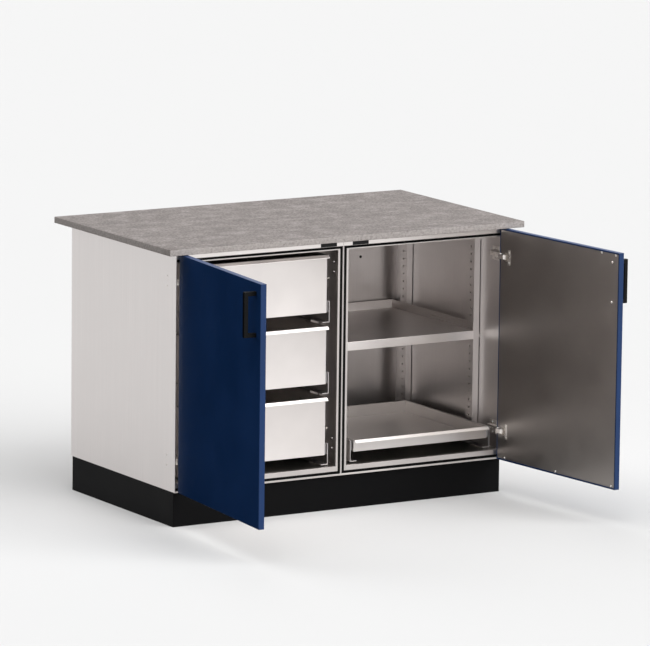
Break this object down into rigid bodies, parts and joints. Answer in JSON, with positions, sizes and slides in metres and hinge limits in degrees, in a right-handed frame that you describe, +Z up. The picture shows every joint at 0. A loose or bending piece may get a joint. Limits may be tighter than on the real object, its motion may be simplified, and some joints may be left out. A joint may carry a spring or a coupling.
{
  "type": "outdoor kitchen cabinet",
  "caption": "Freestanding outdoor kitchen base cabinet: stainless bays with drawers, an adjustable shelf and a pull-out tray behind powder-coated doors, under a stone slab.",
  "frame": {"origin": "on the floor, at the centre of the plinth's footprint", "axes": "+X to the right along the front, +Y to the back, +Z up"},
  "size_m": [1.4004, 1.3336, 0.896],
  "materials": {
    "stone": "honed stone slab",
    "black_paint": "matt black powder coat",
    "black_nylon": "moulded nylon",
    "seal_rubber": "soft black seal",
    "blue_paint": "satin dark blue powder coat",
    "handle_black": "satin black",
    "black_plastic": "moulded",
    "nickel": "nickel plated",
    "bright_screw": "bright stainless",
    "zinc": "zinc plated steel",
    "stainless": "brushed stainless sheet"
  },
  "bodies": {
    "cabinet": {"bottom_drawer_brackets": "stainless", "bottom_drawer_slide_outer": "zinc", "door_latches": "black_plastic", "hinge_plate_screws": "nickel", "hole_plugs": "black_plastic", "joining_bolts": "bright_screw", "left_cabinet_back": "stainless", "left_cabinet_door_seal": "seal_rubber", "left_cabinet_floor": "stainless", "left_cabinet_gutter_frame": "stainless", "left_cabinet_middle_wall": "stainless", "left_cabinet_outer_wall": "stainless", "left_cabinet_posts": "stainless", "left_cabinet_top_rail": "stainless", "left_door_hinge_arms": "nickel", "levelling_feet": "black_nylon", "middle_drawer_brackets": "stainless", "middle_drawer_slide_outer": "zinc", "plinth_frame": "black_paint", "right_cabinet_back": "stainless", "right_cabinet_door_seal": "seal_rubber", "right_cabinet_floor": "stainless", "right_cabinet_gutter_frame": "stainless", "right_cabinet_middle_wall": "stainless", "right_cabinet_outer_wall": "stainless", "right_cabinet_posts": "stainless", "right_cabinet_top_rail": "stainless", "right_door_hinge_arms": "nickel", "shelf": "stainless", "shelf_clips": "stainless", "toe_kick": "black_paint", "top_drawer_brackets": "stainless", "top_drawer_slide_outer": "zinc", "tray_brackets": "stainless", "tray_slide_outer": "zinc", "worktop_slab": "stone"},
    "left_door": {"left_door_skin": "blue_paint", "left_door_liner": "stainless", "left_door_handle": "handle_black", "left_door_handle_screws": "bright_screw", "left_door_liner_screws": "bright_screw", "left_door_hinge_cups": "nickel"},
    "right_door": {"right_door_skin": "blue_paint", "right_door_liner": "stainless", "right_door_handle": "handle_black", "right_door_handle_screws": "bright_screw", "right_door_liner_screws": "bright_screw", "right_door_hinge_cups": "nickel"},
    "top_drawer": {"top_drawer": "stainless", "top_drawer_slide_inner": "zinc"},
    "top_drawer_slide": {"top_drawer_slide_middle": "zinc"},
    "middle_drawer": {"middle_drawer": "stainless", "middle_drawer_slide_inner": "zinc"},
    "middle_drawer_slide": {"middle_drawer_slide_middle": "zinc"},
    "bottom_drawer": {"bottom_drawer": "stainless", "bottom_drawer_slide_inner": "zinc"},
    "bottom_drawer_slide": {"bottom_drawer_slide_middle": "zinc"},
    "tray": {"tray": "stainless", "tray_slide_inner": "zinc"},
    "tray_slide": {"tray_slide_middle": "zinc"}
  },
  "joints": [
    {"name": "left_door_swing", "type": "hinge", "parent": "cabinet", "child": "left_door", "pos_m": [-0.6, -0.36, 0.494], "axis": [0, 0, -1], "range_deg": [-95.5, 14.5]},
    {"name": "right_door_swing", "type": "hinge", "parent": "cabinet", "child": "right_door", "pos_m": [0.6, -0.36, 0.494], "axis": [0, 0, 1], "range_deg": [-95.5, 14.5]},
    {"name": "top_drawer_pull", "type": "slide", "parent": "cabinet", "child": "top_drawer", "axis": [0, -1, 0], "range_m": [0, 0.48]},
    {"name": "top_drawer_slide_follow", "type": "slide", "parent": "cabinet", "child": "top_drawer_slide", "axis": [0, -1, 0], "range_m": [0, 0.24]},
    {"name": "middle_drawer_pull", "type": "slide", "parent": "cabinet", "child": "middle_drawer", "axis": [0, -1, 0], "range_m": [0, 0.48]},
    {"name": "middle_drawer_slide_follow", "type": "slide", "parent": "cabinet", "child": "middle_drawer_slide", "axis": [0, -1, 0], "range_m": [0, 0.24]},
    {"name": "bottom_drawer_pull", "type": "slide", "parent": "cabinet", "child": "bottom_drawer", "axis": [0, -1, 0], "range_m": [0, 0.48]},
    {"name": "bottom_drawer_slide_follow", "type": "slide", "parent": "cabinet", "child": "bottom_drawer_slide", "axis": [0, -1, 0], "range_m": [0, 0.24]},
    {"name": "tray_pull", "type": "slide", "parent": "cabinet", "child": "tray", "axis": [0, -1, 0], "range_m": [0, 0.48]},
    {"name": "tray_slide_follow", "type": "slide", "parent": "cabinet", "child": "tray_slide", "axis": [0, -1, 0], "range_m": [0, 0.24]}
  ],
  "couplings": [
    {"joint": "top_drawer_slide_follow", "follows": "top_drawer_pull", "ratio": 0.5},
    {"joint": "middle_drawer_slide_follow", "follows": "middle_drawer_pull", "ratio": 0.5},
    {"joint": "bottom_drawer_slide_follow", "follows": "bottom_drawer_pull", "ratio": 0.5},
    {"joint": "tray_slide_follow", "follows": "tray_pull", "ratio": 0.5}
  ]
}
